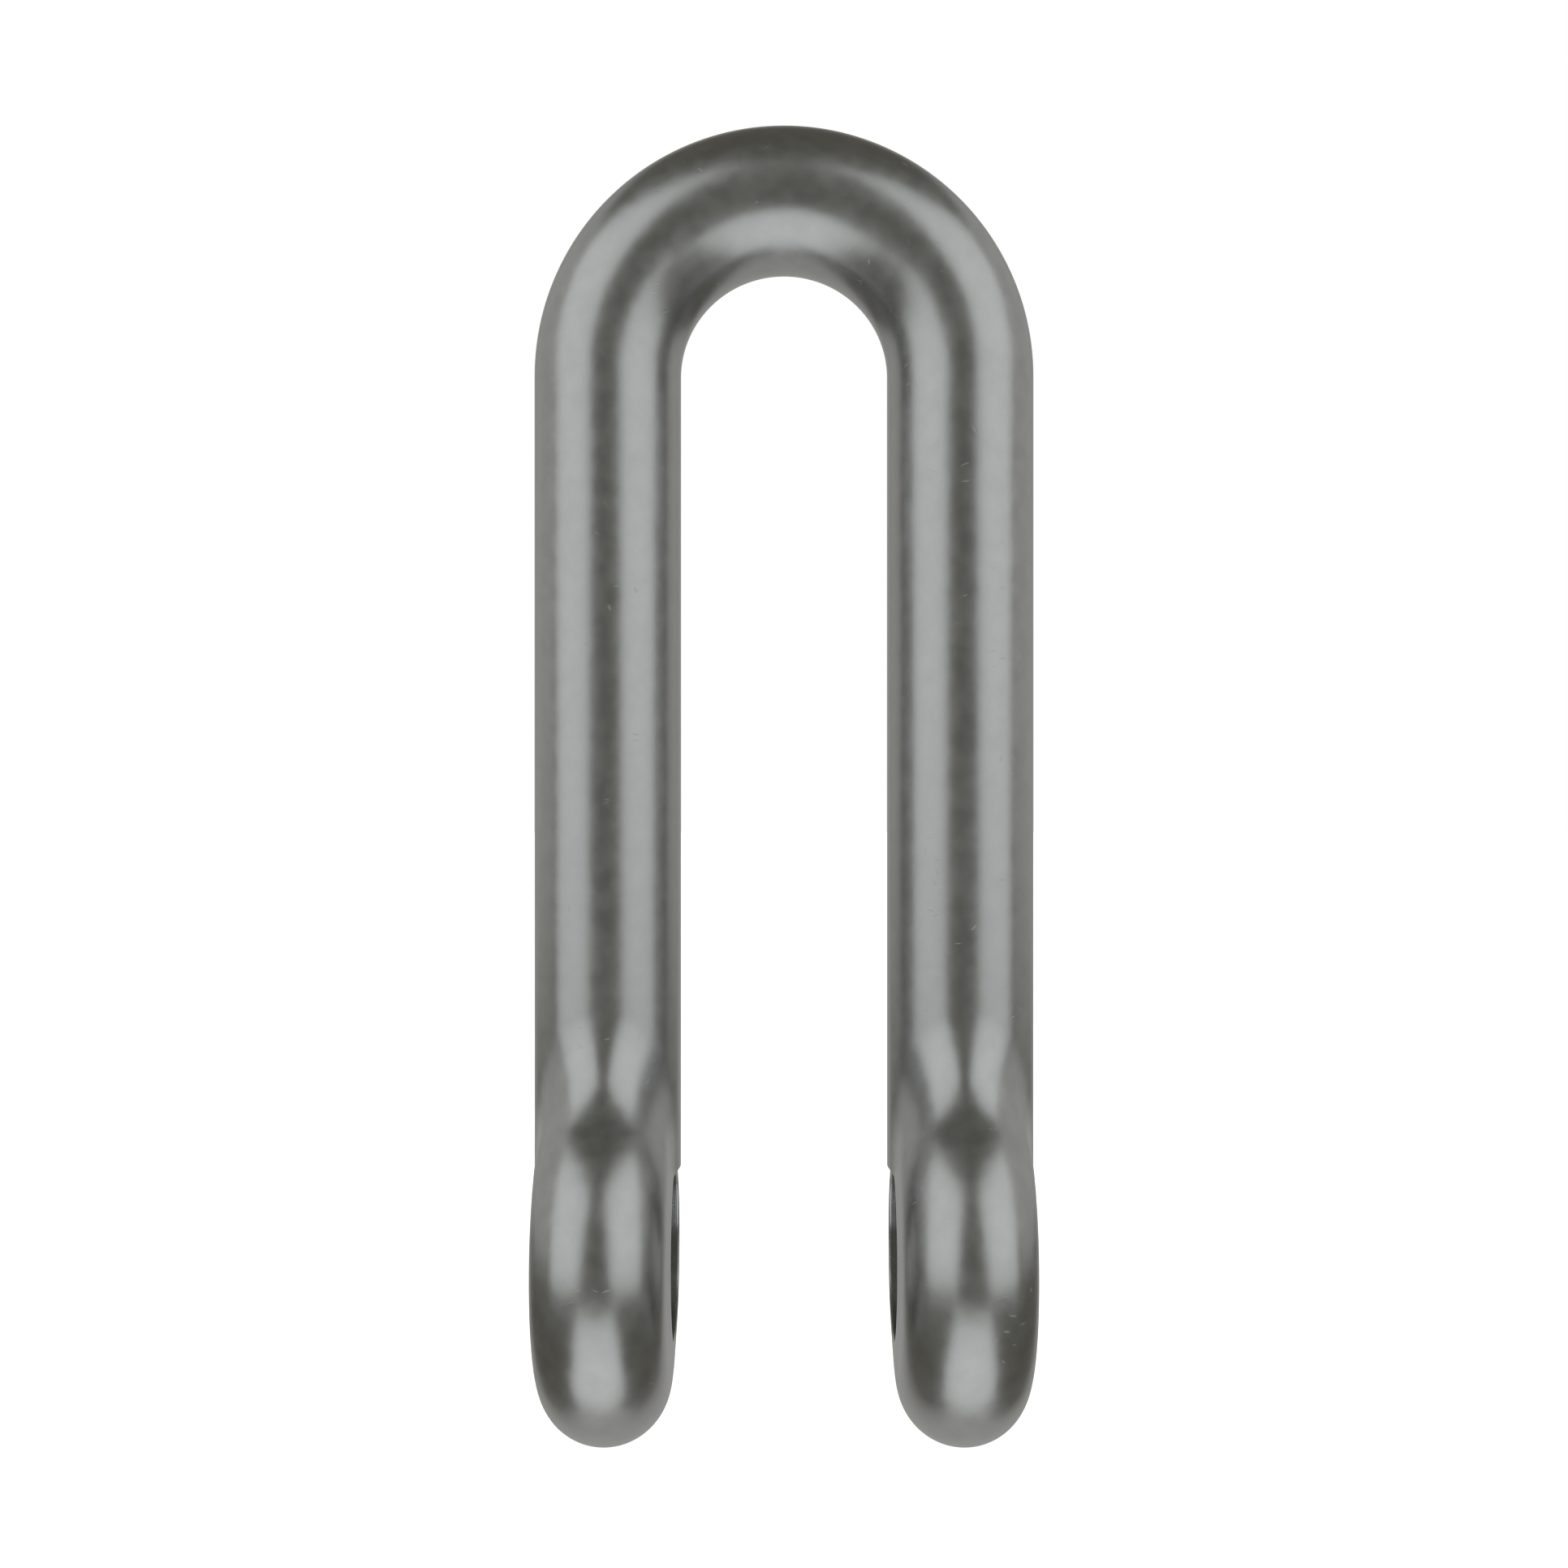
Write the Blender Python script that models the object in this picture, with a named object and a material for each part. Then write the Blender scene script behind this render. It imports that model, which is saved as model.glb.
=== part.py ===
"""Long U-shackle body: a round bar bent into a U, with a forged eye on each leg.

Metres, +Z up along the legs, X across the legs and along the bores, Y the depth.
The origin lies midway between the two eyes, at the level of their lowest points.
"""

import math

import bmesh
import bpy
from mathutils import Matrix, Vector

# Driving dimensions
BAR_RADIUS = 0.008
LEG_SPACING = 0.0386          # between the centrelines of the two legs
EYE_TO_BEND = 0.096           # from the bore's axis up to the centre of the bend
EYE_RADIUS = 0.0204
EYE_HALF_THICKNESS = 0.0074   # at the flat land around the bore
EYE_RIM_RADIUS = 0.0071       # full round around the eye's edge
LAND_WIDTH = 0.0011           # flat ring around each mouth of the bore
BORE_RADIUS = 0.0095
NECK_FILLET_RADIUS = 0.016    # hollow curve between the leg and the eye, seen along the bore
BORE_OVERRUN = 0.004          # how far each end of the bore's cutter stands out of the bar

# Smoothness of the faceted solid
BAR_SIDES = 28
BEND_STEPS = 24
NECK_STEPS = 8
RIM_STEPS = 10
EYE_STEPS = 48
BORE_SIDES = 48
SHARP_ANGLE = math.radians(30)
MERGE_DISTANCE = 1e-6

# Worked out from the dimensions above
LEG_X = LEG_SPACING / 2
BEND_Z = EYE_RADIUS + EYE_TO_BEND
EYE_CENTRES = [Vector((side * LEG_X, 0.0, EYE_RADIUS)) for side in (-1, 1)]
FILLET_Y = BAR_RADIUS + NECK_FILLET_RADIUS
FILLET_RISE = math.sqrt((EYE_RADIUS + NECK_FILLET_RADIUS) ** 2 - FILLET_Y ** 2)
ROOT_RISE = FILLET_RISE * EYE_RADIUS / (EYE_RADIUS + NECK_FILLET_RADIUS)


def clear_scene():
    """Remove every object that the scene starts with."""
    for item in list(bpy.data.objects):
        bpy.data.objects.remove(item, do_unlink=True)


def steel_material():
    """Satin forged steel."""
    material = bpy.data.materials.new("satin_steel")
    material.use_nodes = True
    shader = material.node_tree.nodes["Principled BSDF"]
    shader.inputs["Base Color"].default_value = (0.33, 0.33, 0.32, 1.0)
    shader.inputs["Metallic"].default_value = 1.0
    shader.inputs["Roughness"].default_value = 0.35
    return material


def new_object(name, bm):
    """Turn an edited mesh into a smooth-shaded object of the scene."""
    bmesh.ops.recalc_face_normals(bm, faces=bm.faces[:])
    mesh = bpy.data.meshes.new(name)
    bm.to_mesh(mesh)
    bm.free()
    mesh.shade_smooth()
    mesh.set_sharp_from_angle(angle=SHARP_ANGLE)
    item = bpy.data.objects.new(name, mesh)
    bpy.context.scene.collection.objects.link(item)
    return item


def as_tool(item):
    """Mark an object as a shape that only joins or cuts another one."""
    item.hide_render = True
    item.display_type = "WIRE"
    return item


def neck_half_width(rise):
    """Half the neck's width along Y, at a height above the bore's axis."""
    below = FILLET_RISE - max(rise, ROOT_RISE)
    return FILLET_Y - math.sqrt(NECK_FILLET_RADIUS ** 2 - below ** 2)


def leg_sections(side):
    """Rings of one leg, from inside the eye up to the foot of the bend.

    The left leg's rings keep the half turn that the bend ends with, so that the points line up.
    """
    half_turn = Matrix.Rotation(math.pi * (side - 1) / 2, 4, "Y")
    rises = [0.0]
    for step in range(NECK_STEPS + 1):
        rises.append(ROOT_RISE + (FILLET_RISE - ROOT_RISE) * step / NECK_STEPS)
    sections = []
    for rise in rises:
        width_scale = neck_half_width(rise) / BAR_RADIUS
        place = Matrix.Translation((side * LEG_X, 0.0, EYE_RADIUS + rise))
        sections.append(place @ half_turn @ Matrix.Diagonal((1.0, width_scale, 1.0, 1.0)))
    return sections


def bend_sections():
    """Rings of the half-circle bend, from the right leg's top to the left leg's top."""
    sections = []
    for step in range(BEND_STEPS + 1):
        turn = Matrix.Rotation(-math.pi * step / BEND_STEPS, 4, "Y")
        place = Matrix.Translation((0.0, 0.0, BEND_Z))
        sections.append(place @ turn @ Matrix.Translation((LEG_X, 0.0, 0.0)))
    return sections


def make_bar():
    """The bent bar with a flared neck at the foot of each leg."""
    sections = leg_sections(1) + bend_sections() + leg_sections(-1)[::-1]
    bm = bmesh.new()
    rings = []
    for section in sections:
        made = bmesh.ops.create_circle(bm, segments=BAR_SIDES, radius=BAR_RADIUS, matrix=section)
        rings.append(made["verts"])
    for lower, upper in zip(rings, rings[1:]):
        for side in range(BAR_SIDES):
            bm.faces.new((lower[side - 1], lower[side], upper[side], upper[side - 1]))
    for end in (rings[0], rings[-1]):
        bm.faces.new(end)
    return new_object("shackle_body", bm)


def eye_outline():
    """Half of the eye's section, from the middle of its inner face round to its outer face."""
    land_edge = BORE_RADIUS + LAND_WIDTH
    rim_centre = EYE_RADIUS - EYE_RIM_RADIUS
    run = rim_centre - land_edge
    slant = math.hypot(run, EYE_HALF_THICKNESS)
    draft = math.asin(EYE_RIM_RADIUS / slant) - math.atan2(EYE_HALF_THICKNESS, run)
    first = math.pi / 2 + draft
    points = [(EYE_HALF_THICKNESS, 0.0), (EYE_HALF_THICKNESS, land_edge)]
    for step in range(2 * RIM_STEPS + 1):
        angle = first - 2 * first * step / (2 * RIM_STEPS)
        points.append((EYE_RIM_RADIUS * math.sin(angle), rim_centre + EYE_RIM_RADIUS * math.cos(angle)))
    points += [(-EYE_HALF_THICKNESS, land_edge), (-EYE_HALF_THICKNESS, 0.0)]
    return points


def make_eye(name, centre):
    """A solid eye, turned about the bore's axis, before the bore is cut."""
    bm = bmesh.new()
    verts = []
    for across, out in eye_outline():
        verts.append(bm.verts.new(centre + Vector((across, 0.0, out))))
    edges = [bm.edges.new(pair) for pair in zip(verts, verts[1:])]
    bmesh.ops.spin(bm, geom=verts + edges, cent=centre, axis=(1.0, 0.0, 0.0),
                   angle=2 * math.pi, steps=EYE_STEPS, use_merge=True)
    bmesh.ops.remove_doubles(bm, verts=bm.verts[:], dist=MERGE_DISTANCE)
    return as_tool(new_object(name, bm))


def make_bore(name, centre):
    """The cylinder that cuts an eye's bore."""
    bm = bmesh.new()
    place = Matrix.Translation(centre) @ Matrix.Rotation(math.pi / 2, 4, "Y")
    bmesh.ops.create_cone(bm, cap_ends=True, segments=BORE_SIDES, radius1=BORE_RADIUS,
                          radius2=BORE_RADIUS, depth=2 * (BAR_RADIUS + BORE_OVERRUN), matrix=place)
    return as_tool(new_object(name, bm))


def add_boolean(item, tool, operation):
    """Join or cut with an exact Boolean that stays on the object."""
    modifier = item.modifiers.new(tool.name, "BOOLEAN")
    modifier.operation = operation
    modifier.solver = "EXACT"
    modifier.object = tool


def main():
    clear_scene()
    body = make_bar()
    body.data.materials.append(steel_material())
    for label, centre in zip(("left", "right"), EYE_CENTRES):
        add_boolean(body, make_eye("eye_" + label, centre), "UNION")
        add_boolean(body, make_bore("bore_" + label, centre), "DIFFERENCE")


main()
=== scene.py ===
import math

import bmesh
import bpy
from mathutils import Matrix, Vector


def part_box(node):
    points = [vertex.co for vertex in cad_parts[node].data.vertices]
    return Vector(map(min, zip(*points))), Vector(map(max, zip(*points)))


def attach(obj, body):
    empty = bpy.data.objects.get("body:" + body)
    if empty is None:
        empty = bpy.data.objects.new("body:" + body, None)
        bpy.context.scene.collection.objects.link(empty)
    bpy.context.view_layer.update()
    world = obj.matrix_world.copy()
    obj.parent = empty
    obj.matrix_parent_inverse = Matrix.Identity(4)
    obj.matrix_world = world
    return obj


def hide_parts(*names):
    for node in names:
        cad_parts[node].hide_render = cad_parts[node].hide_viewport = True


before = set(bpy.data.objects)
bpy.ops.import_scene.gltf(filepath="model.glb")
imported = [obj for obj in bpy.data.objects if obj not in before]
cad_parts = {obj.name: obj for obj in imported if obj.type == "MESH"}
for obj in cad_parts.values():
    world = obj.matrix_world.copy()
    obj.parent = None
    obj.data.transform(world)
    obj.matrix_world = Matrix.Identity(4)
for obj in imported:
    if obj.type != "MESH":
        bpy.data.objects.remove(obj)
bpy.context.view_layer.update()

# Studio scene of a long U-shackle body: a round bar bent into a U, with a forged eye on each leg.
# Every size is in metres, in the frame of the CAD.

LOW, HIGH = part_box("shackle_body")

# The forging's own sizes. The rest follow from the box of the CAD body.
BAR_RADIUS = 0.008
BORE_RADIUS = 0.0095
EYE_HALF_THICKNESS = 0.0074
EYE_RIM_RADIUS = 0.0071
NECK_FILLET_RADIUS = 0.016
MOUTH_ROUND = 0.00018

EYE_RADIUS = HIGH[1]
EYE_Z = LOW[2] + EYE_RADIUS
LEG_X = HIGH[0] - BAR_RADIUS
BEND_Z = HIGH[2] - LEG_X - BAR_RADIUS
MIDDLE_Z = (LOW[2] + HIGH[2]) / 2

# The middle of the eye's round rim, and where its drafted face begins to turn into the rim
RIM_CENTRE = EYE_RADIUS - EYE_RIM_RADIUS
FACE_RUN = RIM_CENTRE - BORE_RADIUS
FACE_DRAFT = (math.atan2(EYE_HALF_THICKNESS, FACE_RUN)
              - math.asin(EYE_RIM_RADIUS / math.hypot(FACE_RUN, EYE_HALF_THICKNESS)))
RIM_START = RIM_CENTRE + EYE_RIM_RADIUS * math.sin(FACE_DRAFT)

# A ball rolled into the corner between the bar and the eye's rim shapes the hollow of the neck.
# Its centre keeps one distance from the bar's axis and another from the middle of the rim.
BALL_FROM_BAR = BAR_RADIUS + NECK_FILLET_RADIUS
BALL_FROM_RIM = EYE_RIM_RADIUS + NECK_FILLET_RADIUS
LAST_TURN = math.asin(BALL_FROM_RIM / BALL_FROM_BAR)
BALL_STOPS = 160
STRAIGHT_STOPS = 40
NECK_TOP = math.sqrt((EYE_RADIUS + NECK_FILLET_RADIUS) ** 2 - BALL_FROM_BAR ** 2)
NECK_ROOT = NECK_TOP * EYE_RADIUS / (EYE_RADIUS + NECK_FILLET_RADIUS)

# How finely the surface is divided
SECTION_SIDES = 144
BOWL_STEPS = 44
BORE_STEPS = 34
SHOULDER_STEPS = 30
NECK_STEPS = 32
LEG_STEPS = 24
QUARTER_BEND_STEPS = 48
BORE_WALL_CUTS = 48
MOUTH_SEGMENTS = 3

# The patch of each face that becomes the bore: its columns to either side, half its height, how far
# beyond itself it bends the mesh, and the share of the bore's radius that its faces' centres lie in
PATCH_COLUMNS = 10
PATCH_TURN = PATCH_COLUMNS * 2 * math.pi / SECTION_SIDES
PATCH_RISE = 0.0086
PATCH_REACH = 1.5
PATCH_FILL = 0.9995

# Limits for points that count as one, for points on a section's middle line, and for sharp edges
SAME_PLACE = 1e-6
SAME_SEAM = 1e-5
ON_MIDDLE_LINE = 1e-6
MOUTH_ANGLE = math.radians(60)
SHARP_ANGLE = math.radians(40)

# The steel's pattern: the sizes of its patches, grain and turned rings, and how deep they go
WAVE_SIZE = 0.006
MOTTLE_SIZE = 0.0022
GRAIN_SIZE = 0.00018
RINGS_PER_METRE = 9000.0
WAVE_DEPTH = 0.00006
TEXTURE_DEPTH = 0.000005
MOTTLE_RANGE = (0.3, 0.7)
GRAIN_IN_TEXTURE = 0.25

# The nicks: at most one in each cell of the surface, gathered in clusters
NICK_SPACING = 0.0010
NICK_WIDTH = 0.00010
NICK_LENGTH = 0.0013
NICK_SHARE = 0.45
NICK_LEAN = (0.4, 0.4, 1.0)
CLUSTER_SIZE = 0.007
CLUSTER_RANGE = (0.50, 0.60)

# The steel's greys, from its darkest patches to its palest nicks, and its roughness
DARK_STEEL = (0.372, 0.374, 0.370, 1.0)
PALE_STEEL = (0.468, 0.470, 0.470, 1.0)
MOTTLE_SHADE = (0.1, 0.5)
GRAIN_SHADE = 0.2
NICK_SHADE = 0.5
MOTTLE_ROUGHNESS = (0.295, 0.335)
NICK_ROUGHNESS = 0.18
BORE_POLISH = 0.06

# The studio: its camera, its lit table, and the distance and tints of its lights
CAMERA_DISTANCE = 0.2388
LENS_MM = 50.0
SENSOR_MM = 36.0
NEAREST_SEEN = 0.01
TABLE_SIZE = 6.0
TABLE_WHITE = (0.9, 0.9, 0.9, 1.0)
TABLE_ROUGHNESS = 0.6
TABLE_GLOW = 0.9
PANEL_DISTANCE = 4.0
COOL_LIGHT = (0.945, 0.985, 1.0)
NEUTRAL_LIGHT = (0.985, 0.985, 1.0)
DIM_SURROUND = (0.143, 0.138, 0.118, 1.0)
WHITE = (1.0, 1.0, 1.0, 1.0)


# ---------------------------------------------------------------- the forging

def eye_half_thickness(out):
    """Half the eye's thickness at a distance from the bore's axis: a drafted face, then a round rim."""
    if out <= RIM_START:
        return EYE_HALF_THICKNESS - (out - BORE_RADIUS) * math.tan(FACE_DRAFT)
    return math.sqrt(max(EYE_RIM_RADIUS ** 2 - (out - RIM_CENTRE) ** 2, 0.0))


def outline_half_width(rise):
    """Half the forging's width from front to back, at a height above the bore's axis."""
    if rise < NECK_ROOT:
        return math.sqrt(max(EYE_RADIUS ** 2 - rise ** 2, 0.0))
    below = NECK_TOP - min(rise, NECK_TOP)
    return BALL_FROM_BAR - math.sqrt(NECK_FILLET_RADIUS ** 2 - below ** 2)


def ball_centre(turn):
    """The rolling ball's centre, across, forward and up, when it has turned so far from the front."""
    across, forward = BALL_FROM_BAR * math.sin(turn), BALL_FROM_BAR * math.cos(turn)
    reach = RIM_CENTRE + math.sqrt(max(BALL_FROM_RIM ** 2 - across ** 2, 0.0))
    return across, forward, math.sqrt(reach ** 2 - forward ** 2)


def ball_path():
    """Every stop of the ball's centre: round the bar to its side, then straight down beside the eye."""
    path = [ball_centre(LAST_TURN * stop / BALL_STOPS) for stop in range(BALL_STOPS + 1)]
    across, forward, height = path[-1]
    for stop in range(1, STRAIGHT_STOPS):
        path.append((across, forward, height * (1 - stop / STRAIGHT_STOPS)))
    return path


def left_by_ball(depth, rise, path):
    """Half the thickness that the passing ball leaves standing at one place in the neck."""
    left = BAR_RADIUS
    for across, forward, height in path:
        inside = NECK_FILLET_RADIUS ** 2 - (abs(depth) - forward) ** 2 - (rise - height) ** 2
        if inside > 0.0:
            left = min(left, across - math.sqrt(inside))
    return max(left, 0.0)


def in_hollow(across, depth, rise):
    """Whether a place lies between the ball's touch on the bar and its touch on the eye."""
    turn = math.atan2(across, abs(depth))
    if turn > LAST_TURN or rise > ball_centre(turn)[2]:
        return False
    out = math.hypot(depth, rise)
    past_rim = max(out - RIM_CENTRE, 0.0)
    push = BALL_FROM_RIM / math.hypot(across, past_rim)
    forward = (min(out, RIM_CENTRE) + past_rim * push) * abs(depth) / out
    return math.hypot(across * push, forward) < BALL_FROM_BAR


def half_thickness(depth, rise, path):
    """Half the forging's thickness across: the eye, the end of the bar and the hollow between them."""
    eye = eye_half_thickness(math.hypot(depth, rise))
    if rise <= 0.0:
        return eye
    bar = math.sqrt(max(BAR_RADIUS ** 2 - depth ** 2, 0.0))
    hollow = left_by_ball(depth, rise, path)
    if in_hollow(hollow, depth, rise):
        return max(eye, bar, hollow)
    return max(eye, bar)


def round_patch(turn, depth, rise):
    """Draw the square patch of mesh on a face in to a circle, so that rings of faces run round the bore."""
    out = math.hypot(depth, rise)
    spread = max(abs(math.sin(turn)) / math.sin(PATCH_TURN), abs(rise) / PATCH_RISE)
    if out == 0.0 or spread >= PATCH_REACH:
        return depth, rise
    if spread <= 1.0:
        wanted = BORE_RADIUS * spread
    else:
        share = (spread - 1.0) / (PATCH_REACH - 1.0)
        wanted = BORE_RADIUS + (out * PATCH_REACH / spread - BORE_RADIUS) * share
    return depth * wanted / out, rise * wanted / out


def steps_between(low, high, count):
    """Evenly spaced values after the first, up to and including the last."""
    return [low + (high - low) * step / count for step in range(1, count + 1)]


def section_heights():
    """Heights of the sections above the bore's axis, from the eye's lowest point to the neck's top."""
    bowl = math.acos(PATCH_RISE / EYE_RADIUS)
    heights = [-EYE_RADIUS * math.cos(bowl * step / BOWL_STEPS) for step in range(BOWL_STEPS)]
    heights += [-PATCH_RISE]
    heights += steps_between(-PATCH_RISE, PATCH_RISE, BORE_STEPS)
    heights += steps_between(PATCH_RISE, NECK_ROOT, SHOULDER_STEPS)
    heights += steps_between(NECK_ROOT, NECK_TOP, NECK_STEPS)
    return heights


def mark_turns(leg):
    """Give each point of the first ring its angle round the section, which later rings inherit."""
    bm = bmesh.from_edit_mesh(leg.data)
    turn = bm.verts.layers.float.new("turn")
    for vert in bm.verts:
        vert[turn] = math.atan2(vert.co.y, vert.co.x - LEG_X)
    bmesh.update_edit_mesh(leg.data)


def shape_section(leg, height, path):
    """Move the selected ring's points onto the forging, at a height above the bore's axis."""
    bm = bmesh.from_edit_mesh(leg.data)
    turn = bm.verts.layers.float["turn"]
    for vert in [vert for vert in bm.verts if vert.select]:
        depth = outline_half_width(height) * math.sin(vert[turn])
        depth, rise = round_patch(vert[turn], depth, height)
        side = math.copysign(1.0, math.cos(vert[turn]))
        if abs(math.cos(vert[turn])) < ON_MIDDLE_LINE:
            side = 0.0
        vert.co = (LEG_X + side * half_thickness(depth, rise, path), depth, EYE_Z + rise)
    bmesh.update_edit_mesh(leg.data)


def distance_from_bore(point):
    """Distance from the bore's axis, in the plane across it."""
    return math.hypot(point.y, point.z - EYE_Z)


def pull_up_leg():
    """Pull a ring up from the eye's lowest point, section by section, to the foot of the bend."""
    bpy.ops.mesh.primitive_circle_add(vertices=SECTION_SIDES, radius=BAR_RADIUS,
                                      location=(LEG_X, 0.0, LOW[2]))
    leg = bpy.context.object
    bpy.ops.object.transform_apply(location=True, rotation=True, scale=True)
    bpy.ops.object.mode_set(mode="EDIT")
    bpy.ops.mesh.select_all(action="SELECT")
    mark_turns(leg)
    heights, path = section_heights(), ball_path()
    shape_section(leg, heights[0], path)
    for height in heights[1:]:
        bpy.ops.mesh.extrude_region_move()
        shape_section(leg, height, path)
    lift = (BEND_Z - EYE_Z - NECK_TOP) / LEG_STEPS
    for _ in range(LEG_STEPS):
        bpy.ops.mesh.extrude_region_move(TRANSFORM_OT_translate={"value": (0.0, 0.0, lift)})
    return leg


def bend_half():
    """Spin the leg's top ring through a quarter turn, to the middle of the crown."""
    bpy.ops.mesh.spin(steps=QUARTER_BEND_STEPS, angle=math.pi / 2,
                      center=(0.0, 0.0, BEND_Z), axis=(0.0, 1.0, 0.0))
    bpy.ops.mesh.select_all(action="SELECT")
    bpy.ops.mesh.remove_doubles(threshold=SAME_PLACE)
    bpy.ops.mesh.normals_make_consistent(inside=False)


def open_bore(leg):
    """Delete the patch on both faces of the eye, bridge the two mouths and round their edges."""
    bpy.ops.mesh.select_mode(type="FACE")
    bm = bmesh.from_edit_mesh(leg.data)
    for face in bm.faces:
        face.select_set(distance_from_bore(face.calc_center_median()) < BORE_RADIUS * PATCH_FILL)
    bmesh.update_edit_mesh(leg.data)
    bpy.ops.mesh.delete(type="FACE")
    bpy.ops.mesh.select_mode(type="EDGE")
    bm = bmesh.from_edit_mesh(leg.data)
    for edge in bm.edges:
        edge.select_set(edge.is_boundary and edge.verts[0].co.z < EYE_Z + EYE_RADIUS)
    bmesh.update_edit_mesh(leg.data)
    bpy.ops.mesh.bridge_edge_loops(number_cuts=BORE_WALL_CUTS)
    bm = bmesh.from_edit_mesh(leg.data)
    for edge in bm.edges:
        edge.select_set(len(edge.link_faces) == 2 and edge.calc_face_angle() > MOUTH_ANGLE)
    bmesh.update_edit_mesh(leg.data)
    bpy.ops.mesh.bevel(offset=MOUTH_ROUND, segments=MOUTH_SEGMENTS, profile=0.5, affect="EDGES")
    bpy.ops.object.mode_set(mode="OBJECT")


def join_other_leg(leg):
    """Add the other leg as a mirror image, joined at the middle of the crown."""
    mirror = leg.modifiers.new("other_leg", "MIRROR")
    mirror.merge_threshold = SAME_SEAM
    bpy.ops.object.modifier_apply(modifier=mirror.name)


def forge_shackle():
    """The whole forging, in one piece, with smooth faces and a soft edge at each bore's mouth."""
    bpy.ops.object.select_all(action="DESELECT")
    shackle = pull_up_leg()
    bend_half()
    open_bore(shackle)
    join_other_leg(shackle)
    shackle.data.attributes.remove(shackle.data.attributes["turn"])
    shackle.name = "forged_shackle"
    shackle.data.name = "forged_shackle"
    bpy.ops.object.shade_smooth_by_angle(angle=SHARP_ANGLE)
    return shackle


# ---------------------------------------------------------------- finishes

def add_node(tree, kind, values=None, **settings):
    """Add a shader node, with its settings and the values of its unlinked inputs."""
    node = tree.nodes.new(kind)
    for name, value in settings.items():
        setattr(node, name, value)
    for name, value in (values or {}).items():
        node.inputs[name].default_value = value
    return node


def arithmetic(tree, operation, first, second):
    """The result of a sum on two values, each a socket or a number."""
    node = add_node(tree, "ShaderNodeMath", operation=operation)
    for slot, value in enumerate((first, second)):
        if isinstance(value, (int, float)):
            node.inputs[slot].default_value = value
        else:
            tree.links.new(value, node.inputs[slot])
    return node.outputs["Value"]


def remap(tree, value, source, result):
    """A value carried smoothly from one range to another, held at both ends."""
    node = add_node(tree, "ShaderNodeMapRange", interpolation_type="SMOOTHSTEP",
                    values={"From Min": source[0], "From Max": source[1],
                            "To Min": result[0], "To Max": result[1]})
    tree.links.new(value, node.inputs["Value"])
    return node.outputs["Result"]


def speckle(tree, place, size, detail):
    """Even noise about 0.5, with features of one size in metres."""
    node = add_node(tree, "ShaderNodeTexNoise", values={"Scale": 1 / size, "Detail": detail})
    tree.links.new(place, node.inputs["Vector"])
    return node.outputs["Fac"]


def vector_arithmetic(tree, operation, first, second=None):
    """The result of a sum on a vector and, where it needs one, another socket or a fixed vector."""
    node = add_node(tree, "ShaderNodeVectorMath", operation=operation)
    tree.links.new(first, node.inputs[0])
    if isinstance(second, tuple):
        node.inputs[1].default_value = second
    elif second:
        tree.links.new(second, node.inputs[1])
    return node.outputs["Value" if operation in ("DOT_PRODUCT", "LENGTH") else "Vector"]


def nicks(tree, place):
    """Short soft strokes, at most one in each cell, each lying where a plane of its own cuts the surface."""
    cells = add_node(tree, "ShaderNodeTexVoronoi", values={"Scale": 1 / NICK_SPACING})
    tree.links.new(place, cells.inputs["Vector"])
    chance = add_node(tree, "ShaderNodeSeparateColor")
    tree.links.new(cells.outputs["Color"], chance.inputs["Color"])
    offset = vector_arithmetic(tree, "SUBTRACT", place, cells.outputs["Position"])
    facing = vector_arithmetic(tree, "SUBTRACT", cells.outputs["Color"], (0.5, 0.5, 0.5))
    facing = vector_arithmetic(tree, "MULTIPLY", facing, NICK_LEAN)
    facing = vector_arithmetic(tree, "NORMALIZE", facing)
    above = arithmetic(tree, "ABSOLUTE", vector_arithmetic(tree, "DOT_PRODUCT", facing, offset), 0.0)
    line = remap(tree, above, (0.0, NICK_WIDTH), (1.0, 0.0))
    own_length = arithmetic(tree, "MULTIPLY", chance.outputs["Green"], NICK_LENGTH / 2)
    along = arithmetic(tree, "DIVIDE", vector_arithmetic(tree, "LENGTH", offset), own_length)
    ends = remap(tree, along, (0.4, 1.0), (1.0, 0.0))
    chosen = arithmetic(tree, "LESS_THAN", chance.outputs["Red"], NICK_SHARE)
    marks = arithmetic(tree, "MULTIPLY", arithmetic(tree, "MULTIPLY", line, ends), chosen)
    clusters = remap(tree, speckle(tree, place, CLUSTER_SIZE, 1.0), CLUSTER_RANGE, (0.0, 1.0))
    return arithmetic(tree, "MULTIPLY", marks, clusters)


def inside_bores(tree, axes):
    """1 on the walls of the bores, and 0 past the round of their mouths."""
    rise = arithmetic(tree, "SUBTRACT", axes.outputs["Z"], EYE_Z)
    square = arithmetic(tree, "ADD", arithmetic(tree, "POWER", axes.outputs["Y"], 2.0),
                        arithmetic(tree, "POWER", rise, 2.0))
    distance = arithmetic(tree, "SQRT", square, 0.0)
    return remap(tree, distance, (BORE_RADIUS, BORE_RADIUS + MOUTH_ROUND), (1.0, 0.0))


def steel_tint(tree, mottle, grain, marks):
    """Colour that shifts between two greys in patches and grain, and is palest in the nicks."""
    shade = arithmetic(tree, "ADD", remap(tree, mottle, MOTTLE_RANGE, MOTTLE_SHADE),
                       arithmetic(tree, "MULTIPLY", grain, GRAIN_SHADE))
    shade = arithmetic(tree, "ADD", shade, arithmetic(tree, "MULTIPLY", marks, NICK_SHADE))
    tint = add_node(tree, "ShaderNodeValToRGB")
    tint.color_ramp.elements[0].color = DARK_STEEL
    tint.color_ramp.elements[1].color = PALE_STEEL
    tree.links.new(shade, tint.inputs["Fac"])
    return tint.outputs["Color"]


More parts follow.
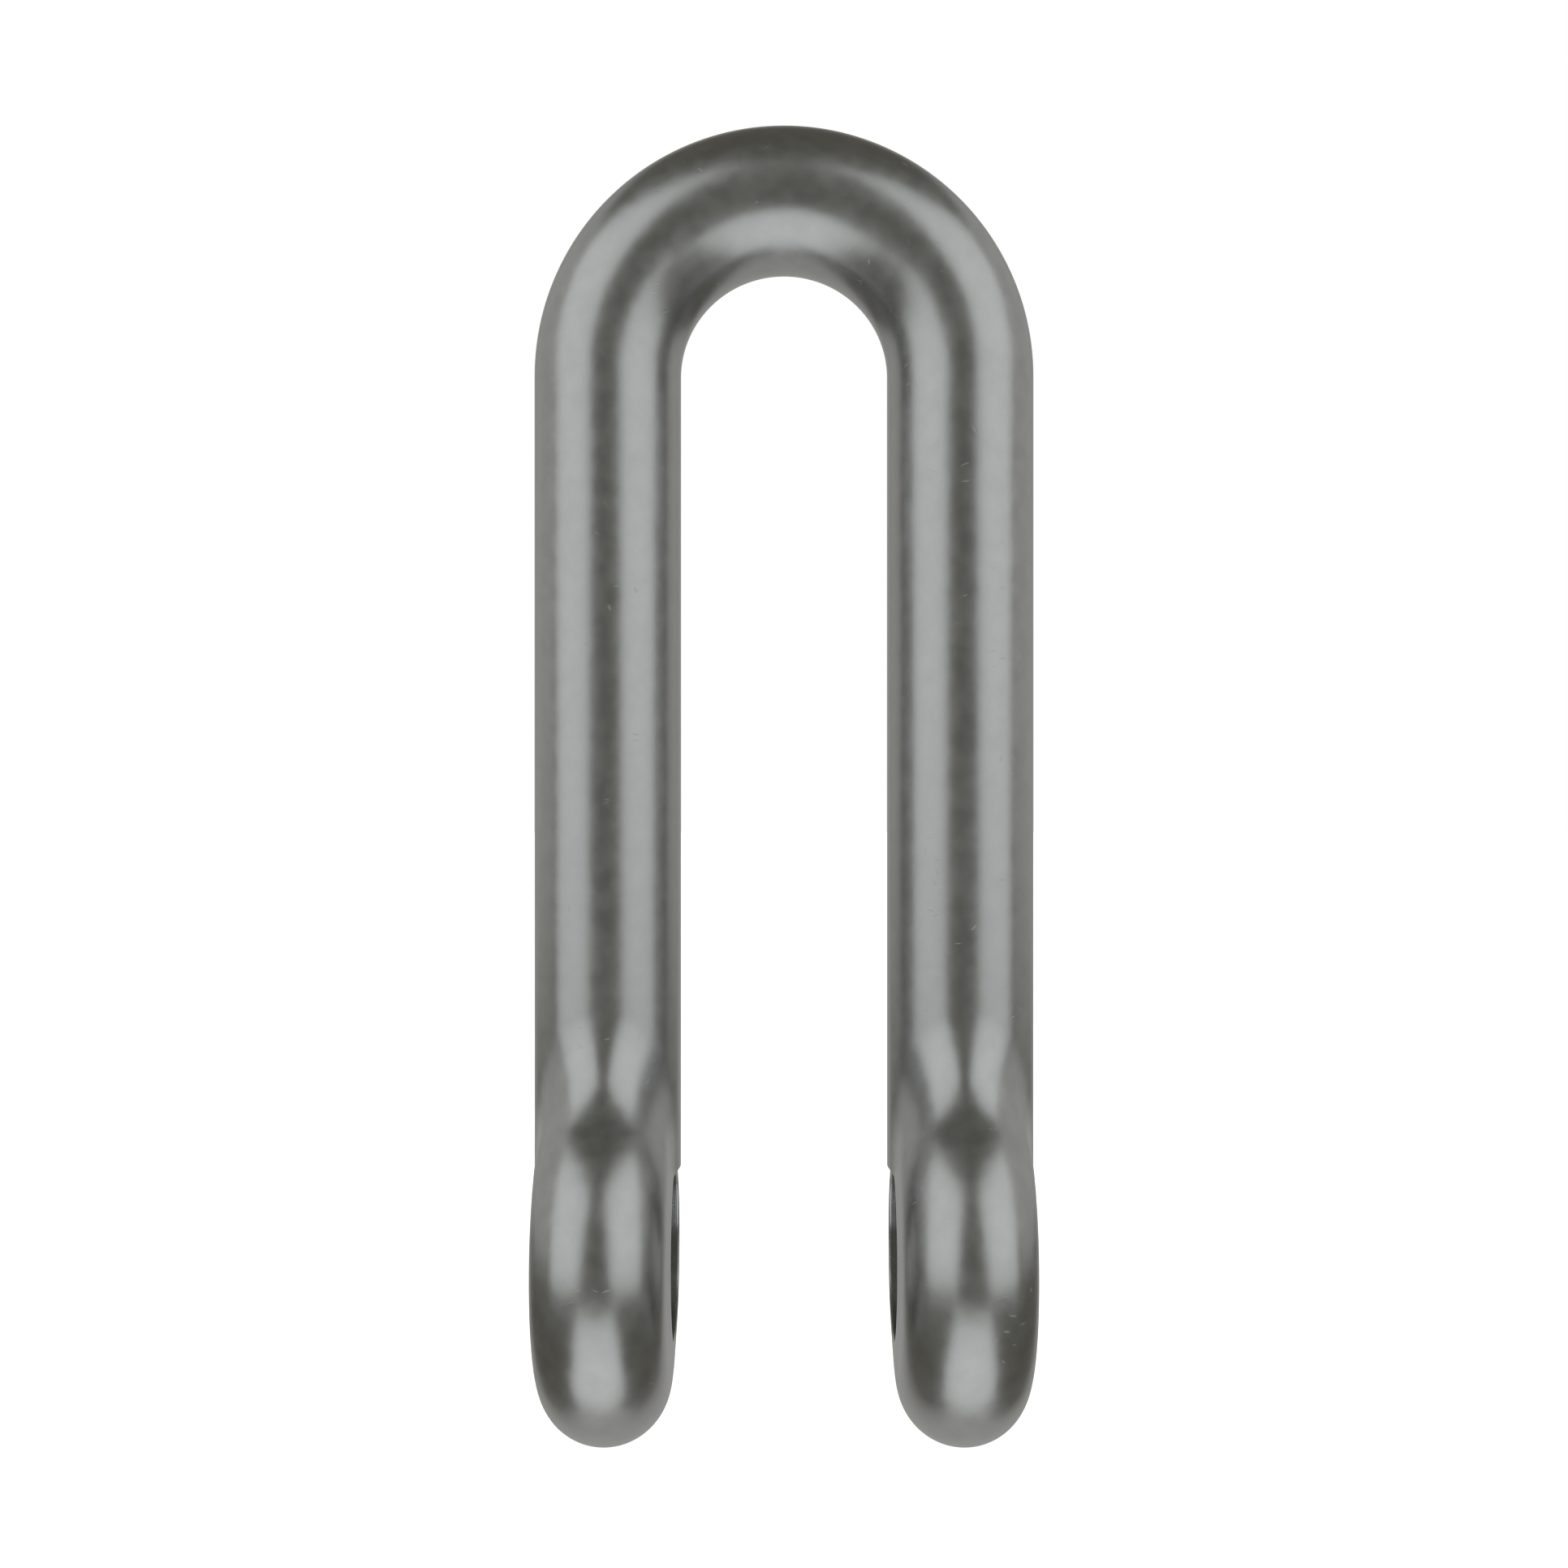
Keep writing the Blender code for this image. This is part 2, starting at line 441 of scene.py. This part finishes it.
def steel_roughness(tree, mottle, marks, bore):
    """Roughness that follows the patches, higher in the nicks and lower in the bores."""
    rough = arithmetic(tree, "ADD", remap(tree, mottle, MOTTLE_RANGE, MOTTLE_ROUGHNESS),
                       arithmetic(tree, "MULTIPLY", marks, NICK_ROUGHNESS))
    return arithmetic(tree, "SUBTRACT", rough, arithmetic(tree, "MULTIPLY", bore, BORE_POLISH))


def steel_relief(tree, wave, grain, marks, rings):
    """Surface direction over the faint waves, with the grain, the turned rings and the nicks cut in."""
    fine = arithmetic(tree, "ADD", arithmetic(tree, "MULTIPLY", grain, GRAIN_IN_TEXTURE), rings)
    fine = arithmetic(tree, "SUBTRACT", fine, marks)
    waviness = add_node(tree, "ShaderNodeBump", values={"Strength": 1.0, "Distance": WAVE_DEPTH})
    tree.links.new(wave, waviness.inputs["Height"])
    texture = add_node(tree, "ShaderNodeBump", values={"Strength": 1.0, "Distance": TEXTURE_DEPTH})
    tree.links.new(fine, texture.inputs["Height"])
    tree.links.new(waviness.outputs["Normal"], texture.inputs["Normal"])
    return texture.outputs["Normal"]


def satin_steel():
    """Satin forged steel: a faint waviness and mottling, a fine grain, clustered nicks and turned bores."""
    material = bpy.data.materials.new("satin_steel")
    material.use_nodes = True
    tree = material.node_tree
    shader = tree.nodes["Principled BSDF"]
    shader.inputs["Metallic"].default_value = 1.0
    place = add_node(tree, "ShaderNodeTexCoord").outputs["Object"]
    axes = add_node(tree, "ShaderNodeSeparateXYZ")
    tree.links.new(place, axes.inputs["Vector"])
    turned = add_node(tree, "ShaderNodeTexNoise", noise_dimensions="1D", values={"Scale": RINGS_PER_METRE})
    tree.links.new(axes.outputs["X"], turned.inputs["W"])

    wave = speckle(tree, place, WAVE_SIZE, 2.0)
    mottle = speckle(tree, place, MOTTLE_SIZE, 4.0)
    grain = speckle(tree, place, GRAIN_SIZE, 2.0)
    marks = nicks(tree, place)
    bore = inside_bores(tree, axes)
    rings = arithmetic(tree, "MULTIPLY", turned.outputs["Fac"], bore)

    tree.links.new(steel_tint(tree, mottle, grain, marks), shader.inputs["Base Color"])
    tree.links.new(steel_roughness(tree, mottle, marks, bore), shader.inputs["Roughness"])
    tree.links.new(steel_relief(tree, wave, grain, marks, rings), shader.inputs["Normal"])
    return material


# ---------------------------------------------------------------- studio

def light_table():
    """A white glowing table, which the metal doesn't mirror and which casts no shadow."""
    bpy.ops.object.select_all(action="DESELECT")
    bpy.ops.mesh.primitive_plane_add(size=TABLE_SIZE, location=(0.0, 0.0, LOW[2]))
    table = bpy.context.object
    table.name = "light_table"
    material = bpy.data.materials.new("white_acrylic")
    material.use_nodes = True
    shader = material.node_tree.nodes["Principled BSDF"]
    shader.inputs["Base Color"].default_value = TABLE_WHITE
    shader.inputs["Roughness"].default_value = TABLE_ROUGHNESS
    shader.inputs["Emission Color"].default_value = WHITE
    shader.inputs["Emission Strength"].default_value = TABLE_GLOW
    table.data.materials.append(material)
    table.visible_glossy = False
    table.visible_shadow = False


def soft_panel(name, azimuth, elevation, width, height, radiance, tint):
    """A soft light seen from the object in one direction, its size given by the angles it fills.

    All angles are in degrees, and azimuth 0 is the camera's side.
    """
    turn, lift = math.radians(azimuth), math.radians(elevation)
    towards = Vector((math.sin(turn) * math.cos(lift), -math.cos(turn) * math.cos(lift), math.sin(lift)))
    light = bpy.data.lights.new(name, "AREA")
    light.shape = "RECTANGLE"
    light.size = 2 * PANEL_DISTANCE * math.tan(math.radians(width) / 2)
    light.size_y = 2 * PANEL_DISTANCE * math.tan(math.radians(height) / 2)
    light.energy = radiance * math.pi * light.size * light.size_y
    light.color = tint
    lamp = bpy.data.objects.new(name, light)
    lamp.location = towards * PANEL_DISTANCE + Vector((0.0, 0.0, MIDDLE_Z))
    lamp.rotation_euler = towards.to_track_quat("Z", "Y").to_euler()
    bpy.context.scene.collection.objects.link(lamp)


def studio_lights():
    """Large soft panels beside the camera and below its view, with dimmer ones at the sides and behind."""
    for side, name in ((-1, "left"), (1, "right")):
        soft_panel(name + "_panel", side * 53, 21, 61, 67, 0.955, COOL_LIGHT)
        soft_panel(name + "_wall", side * 118, 20, 59, 54, 0.388, NEUTRAL_LIGHT)
    soft_panel("low_panel", 0, -59, 64, 67, 0.975, COOL_LIGHT)
    soft_panel("back_wall", 180, -24, 67, 125, 0.365, NEUTRAL_LIGHT)


def studio_surround():
    """The grey walls that the metal reflects, and the white backdrop behind it."""
    world = bpy.data.worlds.new("studio")
    bpy.context.scene.world = world
    world.use_nodes = True
    tree = world.node_tree
    nodes, links = tree.nodes, tree.links
    nodes.clear()
    output = nodes.new("ShaderNodeOutputWorld")
    mix = nodes.new("ShaderNodeMixShader")
    path = nodes.new("ShaderNodeLightPath")
    walls = nodes.new("ShaderNodeBackground")
    walls.inputs["Color"].default_value = DIM_SURROUND
    backdrop = nodes.new("ShaderNodeBackground")
    backdrop.inputs["Color"].default_value = WHITE
    links.new(path.outputs["Is Camera Ray"], mix.inputs["Fac"])
    links.new(walls.outputs["Background"], mix.inputs[1])
    links.new(backdrop.outputs["Background"], mix.inputs[2])
    links.new(mix.outputs["Shader"], output.inputs["Surface"])


def camera():
    """A level camera square to the front, with a normal lens."""
    lens = bpy.data.cameras.new("camera")
    lens.lens = LENS_MM
    lens.sensor_width = SENSOR_MM
    lens.clip_start = NEAREST_SEEN
    view = bpy.data.objects.new("camera", lens)
    view.location = (0.0, -CAMERA_DISTANCE, MIDDLE_Z)
    view.rotation_euler = (math.pi / 2, 0.0, 0.0)
    bpy.context.scene.collection.objects.link(view)
    bpy.context.scene.camera = view


camera()
shackle = forge_shackle()
shackle.data.materials.clear()
shackle.data.materials.append(satin_steel())
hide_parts("shackle_body")
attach(shackle, "root")
light_table()
studio_lights()
studio_surround()
bpy.context.scene.view_settings.view_transform = "Standard"
